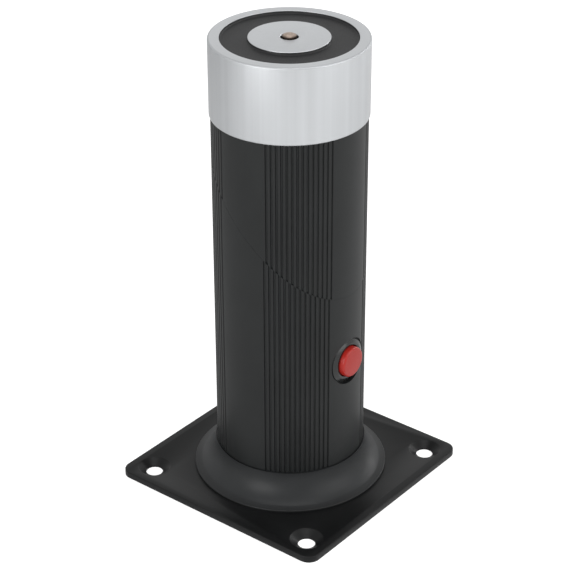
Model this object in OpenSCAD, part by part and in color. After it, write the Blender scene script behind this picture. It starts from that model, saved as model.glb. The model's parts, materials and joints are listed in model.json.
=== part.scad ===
// Holding electromagnet on a ribbed column: a pot magnet that keeps a door open, on a head that
// swivels about a 45 degree mitre from upright to square, with a release push-button in the foot.
// Millimetres, +Z up, origin in the middle of the base plate's underside, button facing -Y.

/* [Base] */
// Side of the square base plate
plate_side = 90; // [86:1:110]
// Thickness of the base plate
plate_thick = 2.5; // [2.2:0.1:3]
// Corner radius of the base plate
plate_corner = 4.5; // [2:0.5:8]
// Distance from the plate's edge to the middle of a floor screw hole
hole_inset = 9; // [8:0.5:10]
// Diameter of the floor screw holes
hole_d = 6.2; // [4:0.1:6.6]
// Diameter of the countersinks at the top of the plate
sink_d = 12; // [9:0.5:13]
// Plain length of each floor hole below its countersink
hole_land = 0.5; // [0.3:0.1:1]
// Radius of the flare's outer lip
lip_r = 35.5; // [34:0.5:36]
// Width of the flatter ring inside the lip
lip_width = 2.2; // [1:0.1:3]
// Height of the lip's upright edge above the plate
lip_step = 0.9; // [0.4:0.1:1.2]
// Rise of the flatter ring from the lip to the start of the cove
lip_rise = 0.5; // [0.2:0.1:0.8]
// Height of the seat on which the column stands
flare_top = 14.1; // [12:0.1:18]
// Length of the spigot inside the foot tube
spigot_len = 6; // [4:0.5:9]
// Wall of the spigot around the wiring cup
cup_wall = 3.4; // [2.4:0.1:3.5]
// Thickness of the cup's floor
floor_thick = 3; // [2.4:0.1:4]
// Radius of the cable opening in the floor
cable_r = 8; // [5:0.5:9]

/* [Column] */
// Outer diameter of the ribbed tubes
tube_d = 54; // [53:0.5:56]
// Wall of the raw extrusion
tube_wall = 3.5; // [3:0.1:4]
// Wall that is left at the bored seats of the tube ends
seat_wall = 2.5; // [2:0.1:2.7]
// Overall height with the head upright, to the magnet's face
total_h = 171; // [142:1:220]
// Length of the head tube on its shortest side, from the mitre to the pot
head_short = 7.7; // [7.5:0.1:12]
// Depth of the foot plug's shoulder below the lowest side of the mitre
foot_plug_land = 5.8; // [4.8:0.1:10]
// Angle between two grooves of a ribbed band
groove_pitch = 3.75; // [3.5:0.05:4.5]
// Number of grooves in each of the four bands
groove_count = 14; // [8:1:16]
// Width of a groove at the tube's surface
groove_w = 0.7; // [0.4:0.05:1]
// Depth of a groove
groove_depth = 0.45; // [0.2:0.05:0.6]

/* [Magnet] */
// How far the steel pot stands out past the tube
pot_overhang = 0.5; // [0.2:0.1:1.5]
// Height of the pot above the head tube
pot_h = 27.5; // [26:0.5:34]
// Wall of the pot's rim
rim_wall = 4; // [3:0.1:4.5]
// Width of the ring-shaped space for the coil
coil_width = 9.5; // [9:0.5:10.5]
// Thickness of the pot's floor under the coil
pot_floor = 6; // [5.5:0.5:9]
// How far the potting lies below the magnet's face
potting_recess = 0.7; // [0.3:0.1:1.5]
// Thickness of the potting
potting_thick = 3.2; // [2:0.1:5]
// Chamfer on the pot's outer edges
pot_chamfer = 0.6; // [0.3:0.1:1.2]
// Diameter of the push-off pin
pin_d = 5; // [3:0.5:6]
// How far the pin stands above the magnet's face
pin_proud = 1.2; // [0.6:0.1:2]
// Diameter of the chamfer around the pin
pin_sink_d = 7.5; // [7:0.1:9]
// Depth of the hole's narrow part above the pin's collar
pin_guide = 9; // [6:0.5:11]

/* [Button] */
// Place of the release button, from the spigot (0) to the foot plug (1)
button_place = 0.6243; // [0.35:0.0001:0.63]
// Diameter of the red cap
cap_d = 11.2; // [9:0.1:11.4]
// How far the cap stands out of the tube's surface
cap_proud = 1.7; // [1.6:0.1:3]
// Travel of the button
button_travel = 1.5; // [0.8:0.1:1.6]
// Diameter of the black bezel
bezel_d = 16.6; // [15.5:0.1:17.5]
// Thickness of the bezel in its spot face
bezel_thick = 1.5; // [1.4:0.1:1.8]
// Diameter of the switch barrel
barrel_d = 14; // [13:0.1:14.4]

/* [Fits] */
// Gap between the two tubes at the mitre
seam = 0.15; // [0.1:0.05:0.3]
// Radial clearance of seats and screws
slip = 0.1; // [0.05:0.01:0.15]
// Radial clearance of the pivot in the foot
run_fit = 0.05; // [0.03:0.01:0.1]
// Gap between pieces that are seated on each other
seat_gap = 0.02; // [0.01:0.01:0.05]

/* [Hidden] */
$fn = 96;
eps = 0.01;
reach = 200;
mitre_tilt = 45;

tube_r = tube_d / 2;
raw_r = tube_r - tube_wall;
seat_r = tube_r - seat_wall;
plug_r = seat_r - slip;
skirt_wall = 2.5;
plug_in_r = plug_r - skirt_wall;
band_shift = groove_pitch / 4;
groove_taper = 0.12;
groove_over = 1;

hole_spacing = plate_side - 2 * hole_inset;
cup_r = plug_r - cup_wall;
lip_in_r = lip_r - lip_width;
lip_z = plate_thick + lip_step;
lip_in_z = lip_z + lip_rise;
cove_run = lip_in_r - tube_r;
cove_rise = flare_top - lip_in_z;
cove_r = (cove_run * cove_run + cove_rise * cove_rise) / (2 * cove_run);
spigot_top = flare_top + spigot_len;
core_in_wall = 1.1;
core_out_wall = 1.8;
core_low = 2.2;
core_slope = 2;

pot_r = tube_r + pot_overhang;
pot_bottom = total_h - pot_h;
mitre_z = pot_bottom - head_short - tube_r;
foot_seat_z = mitre_z - tube_r - foot_plug_land;
button_z = spigot_top + button_place * (foot_seat_z - spigot_top);
pot_spigot = 6;
pot_low = pot_bottom - pot_spigot;
coil_floor = pot_bottom + pot_floor;
coil_out_r = pot_r - rim_wall;
pole_r = coil_out_r - coil_width;
coil_mid_r = (coil_out_r + pole_r) / 2;
potting_top = total_h - potting_recess;
potting_low = potting_top - potting_thick;
land_len = 3.4;
head_seat_z = pot_low - land_len;

foot_web = 4;
head_web = 4.5;
pivot_r = 5;
pivot_bore_r = 3;
foot_boss_r = 10;
head_boss_r = 9;
head_boss_len = 5;
bolt_head_af = 13;
bolt_head_h = 4;
bolt_room = 5;
washer_thick = 1;
spring_stack = 2;
spring_thick = 0.6;
spring_r = 9;
nut_af = 16;
nut_h = 5;
nut_room = 1.933;
foot_boss_len = (plug_in_r - nut_room) * sqrt(2) - hex_r(nut_af) - spring_stack - nut_h;
bolt_proud = 1;
bolt_end = foot_boss_len + spring_stack + nut_h + bolt_proud;
stop_inset = 7.4;
stop_ring_r = plug_r - stop_inset;
stop_r = 2;
washer_gap = 1;
washer_r = stop_ring_r - stop_r - washer_gap;
stop_gap = 0.3;
stop_groove = 3;
stop_pin_in = 3.4;
stop_pin_out = 2.5;
stop_chamfer = 0.4;

m4_r = 2;
m4_clear_r = 2.2;
screw_inset = 6.4;
screw_ring_r = plug_r - screw_inset;
tie_x = screw_ring_r;
tie_boss_r = 5;
tie_boss_top = 8;
tie_head_r = 4;
tie_head_rim = 0.3;
tie_engage = 16;
tie_spare = 4;
tie_hole = tie_engage + tie_spare;
tie_socket_af = 2.5;
tie_socket_depth = 1.5;
plug_boss_r = 4.5;
screw_angles = [270, 30, 150];
cap_head_r = 3.5;
cap_head_h = 4;
cap_socket_af = 3;
cap_socket_depth = 2;
head_screw_len = 14;
head_screw_hole = 10;
head_screw_web = 5.9;
head_screw_seat = pot_low - head_screw_web;
counterbore_gap = 0.25;
counterbore_r = cap_head_r + counterbore_gap;
screw_boss_r = 5.4;

grommet_r = 2.5;
grommet_collar = 0.8;
grommet_step = 0.4;
lead_hole_r = 1.7;
former_in = pole_r + slip;
former_out = coil_out_r - slip;
former_wall = 1;
winding_margin = 0.8;

pin_r = pin_d / 2;
chamber_r = 4.5;
chamber_top = total_h - pin_guide;
collar_gap = 0.2;
collar_r = chamber_r - collar_gap;
collar_h = 3;
retainer_h = 4;
pin_tail = 8;
pin_tail_r = 1.8;
retainer_bore_r = 1;
pin_spring_r = 3.1;
pin_spring_wire_r = 0.4;
pin_spring_turns = 8;

face_y = -tube_r;
spot_y = face_y + bezel_thick;
bezel_r = bezel_d / 2;
barrel_r = barrel_d / 2;
cap_r = cap_d / 2;
cap_front = face_y - cap_proud;
cap_len = 5.5;
cap_back = cap_front + cap_len;
cap_gap = 0.3;
press_gap = 0.2;
guide_len = 3;
contact_room = 10.5;
switch_base_len = 2;
recess_r = cap_r + cap_gap;
recess_floor = cap_back + button_travel + press_gap;
guide_back = recess_floor + guide_len;
chamber_back = guide_back + contact_room;
switch_back = chamber_back + switch_base_len;
switch_room_r = 5.2;
stem_r = 2;
stem_tip_r = 1.3;
stem_tip = 5;
tab_thick = 0.6;
tab_in = 2.6;
strip_in = 3.9;
strip_out = 4.4;
strip_mid = (strip_in + strip_out) / 2;
strip_half = 1.5;
tag_len = 7;
strip_end = switch_back + tag_len;
bridge_thick = 0.6;
bridge_half = 3.75;
bridge_front = guide_back + tab_thick;
bridge_back = bridge_front + bridge_thick;
saddle_r = 9.5;
saddle_depth = 6.4;
saddle_back = face_y + saddle_depth;
switch_nut_h = 2.5;
switch_nut_af = 17;
button_spring_r = 2;
button_spring_wire_r = 0.25;
button_spring_turns = 6;

pole_pitch = 6.5;
pole_gap = 1;
pole_xs = [-pole_pitch, 0, pole_pitch];
block_half = 10;
block_depth = 7.8;
block_h = 13;
block_foot_h = 3;
block_ear_r = 2.4;
block_ear_out = 1.6;
block_ear_x = block_half + block_ear_out;
block_gap = 0.8;
lead_wall = 1;
lead_gap = 1.5;
lead_run_y = leg(cup_r - lead_wall, pole_pitch);
ear_y = leg(cup_r - block_gap - block_ear_r, block_ear_x);
block_back = min(lead_run_y - lead_gap, ear_y + block_depth / 2);
block_y = block_back - block_depth;
block_screw_r = 1.2;
block_screw_in = 2.2;
block_screw_head_r = 2.1;
block_screw_head_h = 1.4;
screw_slot = 0.4;
screw_slot_depth = 0.6;
wire_lift = 5;
wire_z = floor_thick + wire_lift;
wire_hole_r = 1.35;
insert_r = 2;
insert_inset = 0.4;
clamp_inset = 2;
clamp_ys = [block_y + clamp_inset, block_back - clamp_inset];
clamp_screw_r = 1.3;
clamp_screw_h = 5;
clamp_gap = 0.1;
diode_offset = 3.2;

lead_r = 0.6;
lead_pair = 0.7;
lead_sides = 8;
lead_bend = 4;
lead_rise = 4;
lead_swing = 10;
lead_end = 3;

// Radius of the corners of a hexagon with a given width across flats
function hex_r(flats) = flats / 2 / cos(30);

// The other leg of a right-angled triangle
function leg(long_side, side) = sqrt(long_side * long_side - side * side);

// A point on the swivel axis, at a signed distance from the mitre's centre
function on_axis(x, along) = [x, -along * sin(mitre_tilt), mitre_z + along * cos(mitre_tilt)];

function unit(v) = v / norm(v);

// The points of a wire that bends with a set radius at each corner of its route
function corner(before, at, after, bend, steps = 4) =
    let (
        cut = min(bend, norm(before - at) / 2, norm(after - at) / 2),
        from = at + cut * unit(before - at),
        to = at + cut * unit(after - at)
    )
    [for (i = [0:steps]) let (t = i / steps)
        (1 - t) * (1 - t) * from + 2 * t * (1 - t) * at + t * t * to];
function rounded(route, bend) = let (last = len(route) - 1) concat(
    [route[0]],
    [for (i = [1:last - 1]) each corner(route[i - 1], route[i], route[i + 1], bend)],
    [route[last]]);

// A solid from equal rings of points, closed at both ends
module skin(rings) {
    sides = len(rings[0]);
    count = len(rings);
    polyhedron(
        points = [for (ring = rings) each ring],
        faces = concat(
            [[for (s = [0:sides - 1]) s]],
            [for (k = [0:count - 2], s = [0:sides - 1])
                let (t = (s + 1) % sides)
                [k * sides + s, (k + 1) * sides + s, (k + 1) * sides + t, k * sides + t]],
            [[for (s = [sides - 1:-1:0]) (count - 1) * sides + s]]));
}

// A round wire along a route that never runs along X
module wire(route, r, bend) {
    path = rounded(route, bend);
    last = len(path) - 1;
    rings = [for (i = [0:last])
        let (
            along = unit(path[min(i + 1, last)] - path[max(i - 1, 0)]),
            side = unit(cross(along, [1, 0, 0])),
            up = cross(side, along)
        )
        [for (s = [0:lead_sides - 1])
            let (a = 360 * s / lead_sides)
            path[i] + r * cos(a) * side + r * sin(a) * up]];
    skin(rings);
}

// A coil spring along Z between two flat faces
module spring(mean_r, wire_r, height, turns) {
    steps = 16;
    sides = 8;
    rise = height - 2 * wire_r - 2 * seat_gap;
    last = turns * steps;
    rings = [for (i = [0:last])
        let (turn = 360 * i / steps, z = wire_r + seat_gap + rise * i / last)
        [for (s = [0:sides - 1])
            let (a = -360 * s / sides, out = mean_r + wire_r * cos(a))
            [out * cos(turn), out * sin(turn), z + wire_r * sin(a)]]];
    skin(rings);
}

// Local +Z runs into the column along the button's axis, from the column's middle
module inward() {
    translate([0, 0, button_z]) rotate([-90, 0, 0]) children();
}

// Local Z is the swivel axis, from the mitre's centre
module on_mitre() {
    translate([0, 0, mitre_z]) rotate([mitre_tilt, 0, 0]) children();
}

module above_mitre(offset = 0) {
    on_mitre() translate([-reach, -reach, offset]) cube([2 * reach, 2 * reach, reach]);
}

module below_mitre(offset = 0) {
    on_mitre() translate([-reach, -reach, offset - reach]) cube([2 * reach, 2 * reach, reach]);
}

module ring(outer, inner, height) {
    difference() {
        cylinder(r = outer, h = height);
        translate([0, 0, -eps]) cylinder(r = inner, h = height + 2 * eps);
    }
}

// The section of the ribbed extrusion, with its bands turned by a small angle
module rib_section(shift) {
    half = groove_w / 2;
    difference() {
        circle(r = tube_r);
        for (quarter = [0:3], i = [0:groove_count - 1])
            rotate(mitre_tilt + 90 * quarter + shift + (i - (groove_count - 1) / 2) * groove_pitch)
                polygon([
                    [tube_r - groove_depth, half - groove_taper],
                    [tube_r - groove_depth, groove_taper - half],
                    [tube_r + groove_over, -half],
                    [tube_r + groove_over, half]]);
    }
}

module plate_outline() {
    flat = plate_side - 2 * plate_corner;
    inner = flat / 2;
    square([plate_side, flat], center = true);
    square([flat, plate_side], center = true);
    for (x = [-inner, inner], y = [-inner, inner])
        translate([x, y]) circle(r = plate_corner);
}

module at_tie_screws() {
    for (x = [-tie_x, tie_x])
        translate([x, 0, 0]) children();
}

module at_head_screws() {
    for (a = screw_angles)
        rotate(a) translate([screw_ring_r, 0, 0]) children();
}

module at_block_screws() {
    for (x = [-block_ear_x, block_ear_x])
        translate([x, block_y + block_depth / 2, 0]) children();
}

// The cast base: plate, flare, spigot and wiring cup, cored out below the flare
module base_flange() {
    core_in = plug_r + core_in_wall;
    core_out = lip_in_r - core_out_wall;
    core_high = flare_top / 2;
    color("#232327")
    difference() {
        union() {
            linear_extrude(plate_thick) plate_outline();
            rotate_extrude() {
                difference() {
                    translate([cup_r, 0]) square([lip_in_r - cup_r, flare_top]);
                    translate([tube_r + cove_r, flare_top]) circle(r = cove_r);
                }
                polygon([[lip_in_r - eps, 0], [lip_r, 0], [lip_r, lip_z], [lip_in_r, lip_in_z],
                    [lip_in_r - eps, lip_in_z]]);
                translate([cup_r, 0]) square([plug_r - cup_r, spigot_top]);
                square([cup_r + eps, floor_thick]);
            }
            at_tie_screws() cylinder(r = tie_boss_r, h = tie_boss_top);
        }
        translate([0, 0, -eps]) cylinder(r = cable_r, h = floor_thick + 2 * eps);
        rotate_extrude()
            polygon([[core_in, -eps], [core_out, -eps], [core_out, core_low],
                [(core_in + core_out) / 2, core_high - core_slope], [core_in, core_high]]);
        for (x = [-hole_spacing / 2, hole_spacing / 2], y = [-hole_spacing / 2, hole_spacing / 2])
            translate([x, y, 0]) {
                translate([0, 0, -eps]) cylinder(d = hole_d, h = plate_thick + 2 * eps);
                translate([0, 0, hole_land])
                    cylinder(d1 = hole_d, d2 = sink_d, h = plate_thick - hole_land);
                translate([0, 0, plate_thick]) cylinder(d = sink_d, h = lip_in_z);
            }
        at_tie_screws() {
            translate([0, 0, -eps]) cylinder(r = m4_clear_r, h = tie_boss_top + 2 * eps);
            translate([0, 0, -eps])
                cylinder(r = tie_head_r + slip, h = tie_head_rim + slip + 2 * eps);
            translate([0, 0, tie_head_rim + slip])
                cylinder(r1 = tie_head_r + slip, r2 = m4_r + slip, h = tie_head_r - m4_r);
        }
        at_block_screws() translate([0, 0, floor_thick - block_screw_in])
            cylinder(r = block_screw_r + seat_gap, h = reach);
        at_block_screws() translate([0, 0, floor_thick])
            cylinder(r = block_ear_r + slip, h = reach);
    }
}

// Two long countersunk screws that pull the foot plug down onto the tube and the flange
module tie_screws() {
    top = foot_seat_z + tie_engage;
    color("#9a9a98")
    at_tie_screws()
        difference() {
            union() {
                cylinder(r = tie_head_r, h = tie_head_rim);
                translate([0, 0, tie_head_rim])
                    cylinder(r1 = tie_head_r, r2 = m4_r, h = tie_head_r - m4_r);
                cylinder(r = m4_r, h = top);
            }
            translate([0, 0, -eps])
                cylinder(r = hex_r(tie_socket_af), h = tie_socket_depth, $fn = 6);
        }
}

// The lower ribbed tube, mitred at the top, with a spot face and hole for the push-button
module foot_tube() {
    color("#1d1d21")
    difference() {
        translate([0, 0, flare_top + seat_gap])
            linear_extrude(mitre_z + tube_d - flare_top) rib_section(-band_shift);
        cylinder(r = raw_r, h = reach);
        cylinder(r = seat_r, h = spigot_top + slip);
        translate([0, 0, foot_seat_z]) cylinder(r = seat_r, h = reach);
        above_mitre(-seam / 2);
        inward() translate([0, 0, -reach]) cylinder(r = bezel_r + slip, h = reach + spot_y);
        inward() translate([0, 0, -reach]) cylinder(r = barrel_r + slip, h = reach);
    }
}

// The plug in the top of the foot tube: skirt, slanted web, pivot boss and screw bosses
module foot_plug() {
    face = -seam / 2;
    low = foot_seat_z + seat_gap;
    recess = washer_thick - seam;
    color("#6f7175")
    difference() {
        union() {
            difference() {
                translate([0, 0, low]) cylinder(r = plug_r, h = reach / 2);
                intersection() {
                    cylinder(r = plug_in_r, h = reach);
                    below_mitre(face - foot_web);
                }
            }
            intersection() {
                translate([0, 0, low]) cylinder(r = plug_r - eps, h = reach / 2);
                union() {
                    at_tie_screws() translate([0, 0, low]) cylinder(r = plug_boss_r, h = reach / 2);
                    on_mitre() translate([0, 0, -foot_boss_len])
                        cylinder(r = foot_boss_r, h = foot_boss_len);
                }
            }
        }
        above_mitre(face);
        on_mitre() {
            translate([0, 0, face - recess]) cylinder(r = washer_r + slip, h = reach);
            translate([0, 0, -foot_boss_len - eps]) cylinder(r = pivot_r + run_fit, h = reach);
            translate([stop_ring_r, 0, -stop_pin_in]) cylinder(r = stop_r + seat_gap, h = reach);
        }
        at_tie_screws() translate([0, 0, low - eps])
            cylinder(r = m4_r + seat_gap, h = tie_hole);
    }
}

// The pin that stops the swivel at both ends of its half turn
module stop_pin() {
    color("#b7b8ba")
    on_mitre() translate([stop_ring_r, 0, seat_gap - stop_pin_in]) {
        cylinder(r = stop_r, h = stop_pin_in + stop_pin_out - stop_chamfer);
        translate([0, 0, stop_pin_in + stop_pin_out - stop_chamfer])
            cylinder(r1 = stop_r, r2 = stop_r - stop_chamfer, h = stop_chamfer);
    }
}

// The slippery washer that carries the head and sets the seam
module thrust_washer() {
    color("#d9d4c4")
    on_mitre() translate([0, 0, seam / 2 - washer_thick])
        ring(washer_r, pivot_r + run_fit + slip, washer_thick);
}

// Two disc springs, rim to rim, that give the swivel its friction
module disc_springs() {
    cone = spring_stack / 2 - spring_thick;
    inner = pivot_r + run_fit + slip;
    color("#6d6f73")
    on_mitre()
        for (side = [0, 1])
            translate([0, 0, -foot_boss_len - spring_stack / 2])
                mirror([0, 0, side])
                    rotate_extrude()
                        polygon([[inner, cone], [spring_r, seat_gap],
                            [spring_r, spring_thick], [inner, cone + spring_thick - seat_gap]]);
}

// Housing of the push-button: bezel, threaded barrel, cap recess, stem guide and contact room
module switch_body() {
    rim = 0.5;
    front = face_y;
    color("#151518")
    inward() rotate_extrude()
        polygon([
            [recess_r + rim, front], [bezel_r - rim, front], [bezel_r, front + rim],
            [bezel_r, spot_y - seat_gap], [barrel_r, spot_y - seat_gap],
            [barrel_r, switch_back - rim], [barrel_r - rim, switch_back],
            [switch_room_r, switch_back], [switch_room_r, guide_back],
            [stem_r + slip, guide_back], [stem_r + slip, recess_floor],
            [recess_r, recess_floor], [recess_r, front + rim]]);
}

// A saddle that turns the tube's round inner wall into a flat seat for the nut
module switch_saddle() {
    color("#2b2b2f")
    difference() {
        intersection() {
            inward() translate([0, 0, -tube_r]) cylinder(r = saddle_r, h = tube_r + saddle_back);
            cylinder(r = raw_r - slip / 2, h = reach);
        }
        inward() translate([0, 0, -tube_r - eps]) cylinder(r = barrel_r + slip, h = tube_d);
    }
}

module switch_nut() {
    color("#b9babc")
    inward() translate([0, 0, saddle_back + seat_gap])
        difference() {
            cylinder(r = hex_r(switch_nut_af), h = switch_nut_h, $fn = 6);
            translate([0, 0, -eps]) cylinder(r = barrel_r + seat_gap, h = switch_nut_h + 2 * eps);
        }
}

// The insulating base that closes the switch and holds both contact strips
module switch_base() {
    thick = switch_back - chamber_back;
    slot = strip_out - strip_in + 2 * seat_gap;
    color("#6b3d20")
    inward() translate([0, 0, chamber_back])
        difference() {
            cylinder(r = switch_room_r - seat_gap, h = thick);
            for (side = [-1, 1])
                translate([side * strip_mid, 0, thick / 2])
                    cube([slot, 2 * (strip_half + seat_gap), thick + 2 * eps], center = true);
        }
}

// Two brass strips: a tab in front of the bridge, a leg along the room and a tag behind
module fixed_contacts() {
    color("#b5893c")
    inward()
        for (side = [0, 1])
            mirror([side, 0, 0]) {
                translate([strip_in, -strip_half, guide_back + seat_gap])
                    cube([strip_out - strip_in, 2 * strip_half, strip_end - guide_back]);
                translate([tab_in, -strip_half, guide_back + seat_gap])
                    cube([strip_out - tab_in, 2 * strip_half, tab_thick - 2 * seat_gap]);
            }
}

// The red cap and its stem in one moulding
module button_cap() {
    edge = 0.6;
    color("#c3202f")
    inward() rotate_extrude() {
        translate([0, cap_front]) square([cap_r - edge, cap_len]);
        translate([0, cap_front + edge]) square([cap_r, cap_len - edge]);
        translate([cap_r - edge, cap_front + edge]) circle(r = edge);
        translate([0, cap_back - eps]) square([stem_r, bridge_front - cap_back + eps]);
        translate([0, bridge_front - eps]) square([stem_tip_r, stem_tip]);
    }
}

// The strip that joins both contacts until the button is pressed
module contact_bridge() {
    color("#c8a25a")
    inward() translate([0, 0, bridge_front])
        difference() {
            translate([-bridge_half, seat_gap - strip_half, 0])
                cube([2 * bridge_half, 2 * (strip_half - seat_gap), bridge_thick]);
            translate([0, 0, -eps])
                cylinder(r = stem_tip_r + seat_gap, h = bridge_thick + 2 * eps);
        }
}

module button_spring() {
    color("#c9cacc")
    inward() translate([0, 0, bridge_back])
        spring(button_spring_r, button_spring_wire_r, chamber_back - bridge_back,
            button_spring_turns);
}

// The insulating terminal strip in the cup, with a wire hole through each pole
module terminal_block() {
    tower = pole_pitch - pole_gap;
    color("#e6e3d6")
    difference() {
        union() {
            translate([-block_half, block_y, floor_thick + seat_gap])
                cube([2 * block_half, block_depth, block_foot_h]);
            at_block_screws() translate([0, 0, floor_thick + seat_gap])
                cylinder(r = block_ear_r, h = block_foot_h);
            for (x = pole_xs)
                translate([x - tower / 2, block_y, floor_thick + seat_gap])
                    cube([tower, block_depth, block_h]);
        }
        for (x = pole_xs) {
            translate([x, block_y - eps, wire_z]) rotate([-90, 0, 0])
                cylinder(r = insert_r + seat_gap, h = block_depth + 2 * eps);
            for (y = clamp_ys)
                translate([x, y, wire_z]) cylinder(r = clamp_screw_r + slip, h = block_h);
        }
        at_block_screws() cylinder(r = block_screw_r + slip, h = block_h);
    }
}

module terminal_inserts() {
    color("#b5893c")
    for (x = pole_xs)
        translate([x, block_y + insert_inset, wire_z]) rotate([-90, 0, 0])
            difference() {
                cylinder(r = insert_r, h = block_depth - 2 * insert_inset);
                translate([0, 0, -eps]) cylinder(r = wire_hole_r, h = block_depth);
                for (y = clamp_ys)
                    translate([0, 0, y - block_y - insert_inset]) rotate([90, 0, 0])
                        cylinder(r = clamp_screw_r + seat_gap, h = 2 * insert_r);
            }
}

module terminal_screws() {
    color("#a9abae")
    for (x = pole_xs, y = clamp_ys)
        translate([x, y, wire_z + lead_r + clamp_gap])
            difference() {
                cylinder(r = clamp_screw_r, h = clamp_screw_h);
                translate([-clamp_screw_r, -screw_slot / 2, clamp_screw_h - screw_slot_depth])
                    cube([2 * clamp_screw_r, screw_slot, 2 * screw_slot_depth]);
            }
}

module block_screws() {
    seat = floor_thick + block_foot_h + 2 * seat_gap;
    color("#a9abae")
    at_block_screws() {
        translate([0, 0, floor_thick - block_screw_in + seat_gap])
            cylinder(r = block_screw_r, h = seat - floor_thick + block_screw_in);
        difference() {
            translate([0, 0, seat]) cylinder(r = block_screw_head_r, h = block_screw_head_h);
            translate([-block_screw_head_r, -screw_slot / 2,
                seat + block_screw_head_h - screw_slot_depth])
                cube([2 * block_screw_head_r, screw_slot, 2 * screw_slot_depth]);
        }
    }
}

// The diode that takes the coil's voltage peak, bent into the two coil poles
module suppressor() {
    wire_r = 0.35;
    body_r = 1.35;
    body_len = 4.2;
    y = block_y - diode_offset;
    color("#1f1f1f")
    translate([0, y, wire_z]) {
        rotate([0, 90, 0]) cylinder(r = wire_r, h = pole_pitch);
        translate([(pole_pitch - body_len) / 2, 0, 0]) rotate([0, 90, 0])
            cylinder(r = body_r, h = body_len);
        for (x = [0, pole_pitch])
            translate([x, 0, 0]) {
                sphere(r = wire_r);
                rotate([-90, 0, 0]) cylinder(r = wire_r, h = clamp_ys[0] - y + clamp_screw_r);
            }
    }
}

// A wire's way out of the back of one pole, with its own place in the wire hole
function from_pole(x) = [
    [x, clamp_ys[1], wire_z], [x, lead_run_y, wire_z], [x, lead_run_y, wire_z + lead_rise]];

// Two leads from the terminal strip to the tags of the push-button
module switch_leads() {
    tag_y = strip_end + 2 * seat_gap;
    swing_y = (tag_y + 2 * lead_run_y) / 3;
    color("#3a3a3f")
    for (way = [[-pole_pitch, -1], [lead_pair, 1]])
        wire(concat(from_pole(way[0]), [
            [way[0], lead_run_y, button_z / 2],
            [way[1] * strip_mid, swing_y, button_z - lead_swing / 2],
            [way[1] * strip_mid, tag_y + lead_end, button_z],
            [way[1] * strip_mid, tag_y, button_z]]), lead_r, lead_bend);
}

// Two leads from the coil poles to the middle of the hollow pivot
module feed_leads() {
    start = bolt_end + lead_end;
    turn_z = mitre_z + lead_run_y - start * sqrt(2) - 2 * lead_end;
    color("#a3262c")
    for (way = [[-lead_pair, -lead_pair], [pole_pitch, lead_pair]])
        wire(concat(from_pole(way[0]), [
            [way[0], lead_run_y, button_z / 2],
            [way[1], lead_run_y, button_z + lead_swing],
            [way[1], lead_run_y, turn_z],
            on_axis(way[1], -start),
            on_axis(way[1], -2 * seam)]), lead_r, lead_bend);
}

// The upper ribbed tube, mitred at the bottom, with seats for its plug and for the pot
module head_tube() {
    low = mitre_z - tube_d;
    color("#1d1d21")
    difference() {
        translate([0, 0, low]) linear_extrude(pot_bottom - seat_gap - low) rib_section(band_shift);
        cylinder(r = raw_r, h = reach);
        cylinder(r = seat_r, h = head_seat_z);
        translate([0, 0, pot_low - slip]) cylinder(r = seat_r, h = reach);
        below_mitre(seam / 2);
    }
}

// The plug in the head tube: slanted web with the stop groove, skirt and three screw bosses
module head_plug() {
    face = seam / 2;
    groove = 2 * (stop_r + stop_gap);
    color("#6f7175")
    difference() {
        union() {
            difference() {
                cylinder(r = plug_r, h = head_seat_z - seat_gap);
                intersection() {
                    cylinder(r = plug_in_r, h = reach);
                    above_mitre(face + head_web);
                }
            }
            at_head_screws() cylinder(r = screw_boss_r, h = pot_low - seat_gap);
            on_mitre() cylinder(r = head_boss_r, h = head_boss_len);
        }
        below_mitre(face);
        on_mitre() {
            translate([0, 0, -eps]) cylinder(r = pivot_r + seat_gap, h = reach);
            translate([0, 0, head_boss_len]) cylinder(r = hex_r(bolt_head_af) + slip, h = bolt_room);
            for (x = [-stop_ring_r, stop_ring_r])
                translate([x, 0, 0]) cylinder(r = groove / 2, h = stop_groove);
            rotate(180) rotate_extrude(angle = 180)
                translate([stop_ring_r - groove / 2, 0]) square([groove, stop_groove]);
        }
        at_head_screws() {
            cylinder(r = m4_clear_r, h = reach);
            cylinder(r = counterbore_r, h = head_screw_seat);
        }
    }
}

module plug_screws() {
    color("#a9abae")
    at_head_screws()
        difference() {
            union() {
                translate([0, 0, head_screw_seat - cap_head_h - seat_gap])
                    cylinder(r = cap_head_r, h = cap_head_h);
                translate([0, 0, head_screw_seat - cap_head_h])
                    cylinder(r = m4_r, h = cap_head_h + head_screw_len);
            }
            translate([0, 0, head_screw_seat - cap_head_h - seat_gap - eps])
                cylinder(r = hex_r(cap_socket_af), h = cap_socket_depth, $fn = 6);
        }
}

// The hollow bolt about which the head swivels and through which the leads pass
module pivot_bolt() {
    color("#a9abae")
    on_mitre() difference() {
        union() {
            translate([0, 0, -bolt_end]) cylinder(r = pivot_r, h = bolt_end + head_boss_len + eps);
            translate([0, 0, head_boss_len + seat_gap])
                cylinder(r = hex_r(bolt_head_af), h = bolt_head_h, $fn = 6);
            translate([0, 0, head_boss_len]) cylinder(r = pivot_r, h = bolt_head_h);
        }
        translate([0, 0, -bolt_end - eps]) cylinder(r = pivot_bore_r, h = reach);
    }
}

module pivot_nut() {
    color("#a9abae")
    on_mitre() translate([0, 0, -foot_boss_len - spring_stack - nut_h])
        difference() {
            cylinder(r = hex_r(nut_af), h = nut_h - seat_gap, $fn = 6);
            translate([0, 0, -eps]) cylinder(r = pivot_r + seat_gap, h = nut_h + 2 * eps);
        }
}

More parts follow.
